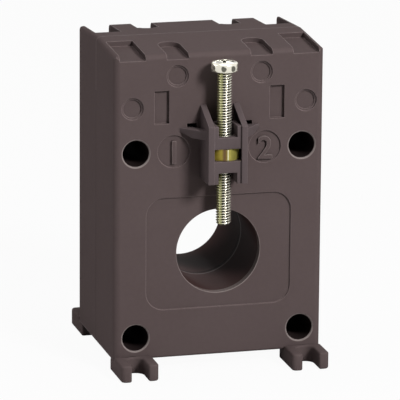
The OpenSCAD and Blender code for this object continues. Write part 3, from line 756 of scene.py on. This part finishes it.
def screw_painted_light(base, place, tone):
    """The plating is yellow on the left of the shank; the head is silver, and so is the right of
    the shank as a painted reflection. Painted shade darkens the roots of the thread and the
    recess, and painted reflections make dark streaks on the shank and patches on the side
    and crown of the head."""
    middle = base.add("ShaderNodeVectorMath", {"operation": "SUBTRACT"}, {0: place, 1: SCREW_SEAT})
    flat = base.add("ShaderNodeVectorMath", {"operation": "MULTIPLY"}, {0: middle, 1: (1, 1, 0)})
    radius = base.add("ShaderNodeVectorMath", {"operation": "LENGTH"}, {0: flat}, "Value")
    x, y, height = split(base, middle)
    over = base.maths("GREATER_THAN", height, 0.0)
    around = x / radius
    # painted reflection: the right of the shank silver
    silver = clamped(base, (around + 0.50) * 5.0)
    tone = mix(base, base.maths("MAXIMUM", over, silver), tone, SILVER)
    # painted reflection: dark streaks round the shank, which also place the patches on the head
    wave = base.maths("SINE", base.maths("ARCTAN2", y, x) * STREAKS + STREAK_TURN) * 0.5 + 0.5
    streak = wave * clamped(base, (around + 0.67) * 4.0)
    # painted shade in the roots of the thread, stronger along the streaks
    root = 1 - clamped(base, (radius - ROOT_R) / (RIDGE_R - ROOT_R))
    shank = (1 - over) * root * (0.35 + 1.3 * streak)
    # painted reflection: dark patches on the side of the head
    up = (height - SIDE_MIDDLE) / PATCH
    rim = clamped(base, (radius - SIDE_R) / (0.05 * MM))
    cloud = noise(base, place, PATCH_CLOUD) * 0.9
    ragged = wave + cloud - up * up - 0.75 - clamped(base, -0.8 - x / (1.8 * MM)) * 0.5
    side = rim * clamped(base, ragged / 0.3) * 0.9
    # painted reflection: dark patches on the crown
    beside = distance(base, distance(base, x, CROWN_REFLECTION_X), CROWN_REFLECTION_BESIDE) / PATCH
    before = (y - CROWN_REFLECTION_Y) / CROWN_REFLECTION_LONG
    crown = clamped(base, (0.75 - beside * beside - before * before + cloud) / 0.5 - 0.8)
    crown = crown * base.maths("GREATER_THAN", height, SCREW_SIZES.head_height * 0.85) * 0.85
    # painted shade in the cross recess
    fall = radius * radius * (CROWN_RISE / (SCREW_SIZES.head_width * 0.4) ** 2)
    depth = SCREW_SIZES.head_height - height - fall
    recess = (1 - rim) * clamped(base, depth / (0.10 * MM) - 0.8)
    # painted shade and painted reflections darken the plating
    painted_dark = clamped(base, shank + over * (side + recess + crown))
    return mix(base, painted_dark, tone, SHADE_AND_REFLECTION_DARK)


screw_zinc = plated(
    "screw_zinc", rgb(0.56, 0.55, 0.25), rgb(0.70, 0.69, 0.42), roughness=0.14, metallic=0.75,
    painted_light=screw_painted_light,
)
machine_screw(
    "locking_screw_threaded", "locking_screw", "locking_screw", screw_zinc,
    SCREW_SIZES, Matrix.Translation(SCREW_SEAT),
)


# The core. A ring wound from one long strip of grain-oriented steel: its ends show the
# edges of the strip as fine rings, its outside the dull scale of the last turn.
STRIP_PITCH = 0.3 * MM


def wound_steel():
    made, shader, base = new_material("core_steel", Metallic=1.0)
    place = base.add("ShaderNodeTexCoord", output="Object")
    flat = base.add("ShaderNodeVectorMath", {"operation": "MULTIPLY"}, {0: place, 1: (1, 0, 1)})
    radius = base.add("ShaderNodeVectorMath", {"operation": "LENGTH"}, {0: flat}, "Value")
    strip = base.maths("SINE", radius * (2 * pi / STRIP_PITCH)) * 0.5 + 0.5
    cloud = noise(base, place, 3 * MM, 4.0)
    share = strip * 0.6 + cloud * 0.4
    feed(
        shader,
        Base_Color=mix(base, share, rgb(0.20, 0.21, 0.23), rgb(0.42, 0.43, 0.45)),
        Roughness=0.32 + 0.2 * cloud,
        Normal=bump(base, strip, 0.02 * MM, 0.5),
    )
    return made


dress("core", wound_steel())


# The core caps. Two open rings of natural nylon, pushed over the core from both sides so
# that the wire's enamel isn't cut by the edges of the strip.
cap_nylon = moulded(
    "cap_plastic", rgb(0.52, 0.49, 0.40), rgb(0.62, 0.59, 0.50), grain=0.30 * MM,
    radius=0.25 * MM, roughness=0.42, shine=0.2,
)
for node in ("core_cap_front", "core_cap_rear"):
    dress(node, cap_nylon)


# The winding. Forty turns of enamelled copper wound through the capped core, spread over
# all of it but a gap at the top, where its two ends rise to the terminal plates.
TURNS = 40
WIRE_R = 0.80 * MM
WRAP = radians(340)
WIRE_BEND = 0.5 * MM
COIL_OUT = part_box("pad_front")[1].x
COIL_IN = 13.55 * MM
COIL_Y = 15.95 * MM
LEAD_X = 4.5 * MM
LEAD_Y = 10.85 * MM
LEAD_OUT = 12.55 * MM
LEAD_LOW = 26.6 * MM
LEAD_RISE = 29.6 * MM
LEAD_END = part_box("secondary_winding")[1].z
LEAD_STEP = 0.4 * MM


def wire_points():
    """The wire's path: a lead, the turns round the core, the other lead."""
    edge = COIL_OUT - WIRE_R
    deep = COIL_Y - WIRE_R
    inner = COIL_IN + WIRE_R
    corners = [(edge, deep - WIRE_BEND), (edge - WIRE_BEND, deep)]
    corners += [(inner + WIRE_BEND, deep), (inner, deep - WIRE_BEND)]
    corners += [(radius, -y) for radius, y in reversed(corners)]
    count = TURNS * len(corners)
    lead = [(LEAD_OUT, LEAD_LOW), (LEAD_Y, LEAD_RISE), (LEAD_Y, LEAD_END)]
    points = [(-LEAD_X, y, z) for y, z in reversed(lead)]
    for i in range(count):
        angle = radians(270) - WRAP / 2 + WRAP * i / (count - 1)
        radius, y = corners[i % len(corners)]
        points.append((radius * cos(angle), y, radius * sin(angle)))
    foot_x = LEAD_X - LEAD_STEP
    points.append((foot_x, LEAD_OUT, sqrt(edge ** 2 - foot_x ** 2)))
    return points + [(LEAD_X, y, z) for y, z in lead]


def swept_wire(name, points, radius, finish):
    """A round wire along straight stretches, as one closed mesh."""
    curve = bpy.data.curves.new(name, "CURVE")
    curve.dimensions = "3D"
    curve.twist_mode = "MINIMUM"
    curve.bevel_depth = radius
    curve.bevel_resolution = 3
    curve.use_fill_caps = True
    line = curve.splines.new("POLY")
    line.points.add(len(points) - 1)
    for point, place in zip(line.points, points):
        point.co = (*place, 1)
    mesh = plain_mesh(placed(name, curve))
    closed = bmesh.new()
    closed.from_mesh(mesh)
    bmesh.ops.remove_doubles(closed, verts=closed.verts, dist=WELD)
    bmesh.ops.recalc_face_normals(closed, faces=closed.faces)
    closed.to_mesh(mesh)
    closed.free()
    smooth(mesh, 40)
    mesh.materials.clear()
    mesh.materials.append(finish)
    return placed(name, mesh)


def enamelled_copper():
    made, shader, base = new_material("winding_copper", Metallic=1.0)
    shader.inputs["Coat Roughness"].default_value = 0.12
    place = base.add("ShaderNodeTexCoord", output="Object")
    cloud = noise(base, place, 5 * MM)
    line = noise(base, place, 0.4 * MM)
    feed(
        shader,
        Base_Color=mix(base, cloud, rgb(0.36, 0.12, 0.035), rgb(0.52, 0.21, 0.075)),
        Roughness=0.26 + 0.12 * line,
        Coat_Weight=0.5 + 0.4 * cloud,
        Normal=bump(base, line, 0.01 * MM, 0.1),
    )
    return made


winding_copper = enamelled_copper()
winding = swept_wire("winding_turns", wire_points(), WIRE_R, winding_copper)
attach(winding, "case")
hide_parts("secondary_winding")


# The tape. Two turns of amber polyester film round the middle of the winding, with its
# loose end pressed down and fine creases across it.
def tape_film():
    made, shader, base = new_material("tape_film")
    place = base.add("ShaderNodeTexCoord", output="Object")
    flat = base.add("ShaderNodeVectorMath", {"operation": "MULTIPLY"}, {0: place, 1: (1, 0.18, 1)})
    crease = noise(base, flat, 0.9 * MM, 3.0)
    cloud = noise(base, place, 9 * MM)
    share = cloud * 0.6 + crease * 0.4
    feed(
        shader,
        Base_Color=mix(base, share, rgb(0.46, 0.24, 0.04), rgb(0.62, 0.38, 0.08)),
        Roughness=0.20 + 0.16 * crease,
        Normal=bump(base, crease, 0.05 * MM, 0.3),
    )
    return made


dress("winding_tape", tape_film())


# The pads. Two rings of closed-cell rubber that hold the winding between the shells.
CELL_SIZE = 0.5 * MM


def cell_rubber():
    made, shader, base = new_material("pad_rubber")
    place = base.add("ShaderNodeTexCoord", output="Object")
    cells = base.add("ShaderNodeTexVoronoi", inputs={"Vector": place, "Scale": 1 / CELL_SIZE})
    cloud = noise(base, place, 4 * MM)
    feed(
        shader,
        Base_Color=mix(base, cloud, rgb(0.020, 0.020, 0.022), rgb(0.034, 0.034, 0.037)),
        Roughness=0.75 + 0.15 * cloud,
        Normal=bump(base, 1 - cells, 0.05 * MM, 0.5),
    )
    return made


pad_rubber = cell_rubber()
for node in ("pad_front", "pad_rear"):
    dress(node, pad_rubber)


# The lead sleeves. Glass yarn braided to a tube and stiffened with varnish, slipped over
# the straight part of each lead.
YARN_CLIMB = 1.1 * MM
YARNS = 6.0


def braid(axis_x):
    """Two sets of yarns that cross on a slope round an upright axis at this X, and at the
    same distance on the left."""
    made, shader, base = new_material("sleeve_braid")
    place = base.add("ShaderNodeTexCoord", output="Object")
    x, y, z = split(base, place)
    angle = base.maths("ARCTAN2", y - LEAD_Y, base.maths("ABSOLUTE", x) - axis_x)
    climb = z * (2 * pi / YARN_CLIMB)
    first = base.maths("SINE", climb + angle * YARNS)
    second = base.maths("SINE", climb - angle * YARNS)
    yarn = first * second * 0.5 + 0.5
    cloud = noise(base, place, 3 * MM)
    share = yarn * 0.6 + cloud * 0.4
    feed(
        shader,
        Base_Color=mix(base, share, rgb(0.42, 0.38, 0.28), rgb(0.70, 0.66, 0.55)),
        Roughness=0.45 + 0.2 * yarn,
        Normal=bump(base, yarn, 0.08 * MM, 0.6),
    )
    return made


sleeve_braid = braid(LEAD_X)
for node in ("lead_sleeve_left", "lead_sleeve_right"):
    dress(node, sleeve_braid)


# The terminal plates. Two plates punched from cold-rolled brass strip, with a tab that the
# lead is soldered to; the rolling has left fine lines along them.
def rolled_brass():
    made, shader, base = new_material("terminal_brass", Metallic=1.0)
    place = base.add("ShaderNodeTexCoord", output="Object")
    drawn = base.add("ShaderNodeVectorMath", {"operation": "MULTIPLY"}, {0: place, 1: (0.06, 1, 1)})
    line = noise(base, drawn, 0.12 * MM, 3.0)
    cloud = noise(base, place, 6 * MM, 3.0)
    share = cloud * 0.7 + line * 0.3
    soft, _ = rounded_edge(base, 0.1 * MM)
    feed(
        shader,
        Base_Color=mix(base, share, rgb(0.60, 0.40, 0.13), rgb(0.76, 0.56, 0.24)),
        Roughness=0.24 + 0.18 * line,
        Normal=bump(base, line, 0.01 * MM, 0.25, soft),
    )
    return made


terminal_brass = rolled_brass()
for node in ("terminal_plate_left", "terminal_plate_right"):
    dress(node, terminal_brass)


# The terminals. Four M3 pan-head screws, each with a loose square washer that clamps the
# customer's wire on the plate, in bright zinc plate.
terminal_zinc = plated(
    "terminal_zinc", rgb(0.56, 0.57, 0.58), rgb(0.72, 0.73, 0.74), roughness=0.22
)
TERMINAL_SIZES = ScrewSizes(
    diameter=3.0 * MM, pitch=0.5 * MM, length=8.0 * MM, head_width=5.4 * MM,
    head_height=2.0 * MM, sides=32,
)
for place in ("left_outer", "left_inner", "right_inner", "right_outer"):
    dress("clamp_washer_" + place, terminal_zinc)
    low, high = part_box("terminal_screw_" + place)
    seat = Vector(((low.x + high.x) / 2, high.y - TERMINAL_SIZES.head_height, (low.z + high.z) / 2))
    stand = Matrix.Translation(seat) @ Matrix.Rotation(-pi / 2, 4, "X")
    machine_screw(
        "terminal_screw_threaded_" + place, "terminal_screw_" + place, "terminal_" + place,
        terminal_zinc, TERMINAL_SIZES, stand,
    )
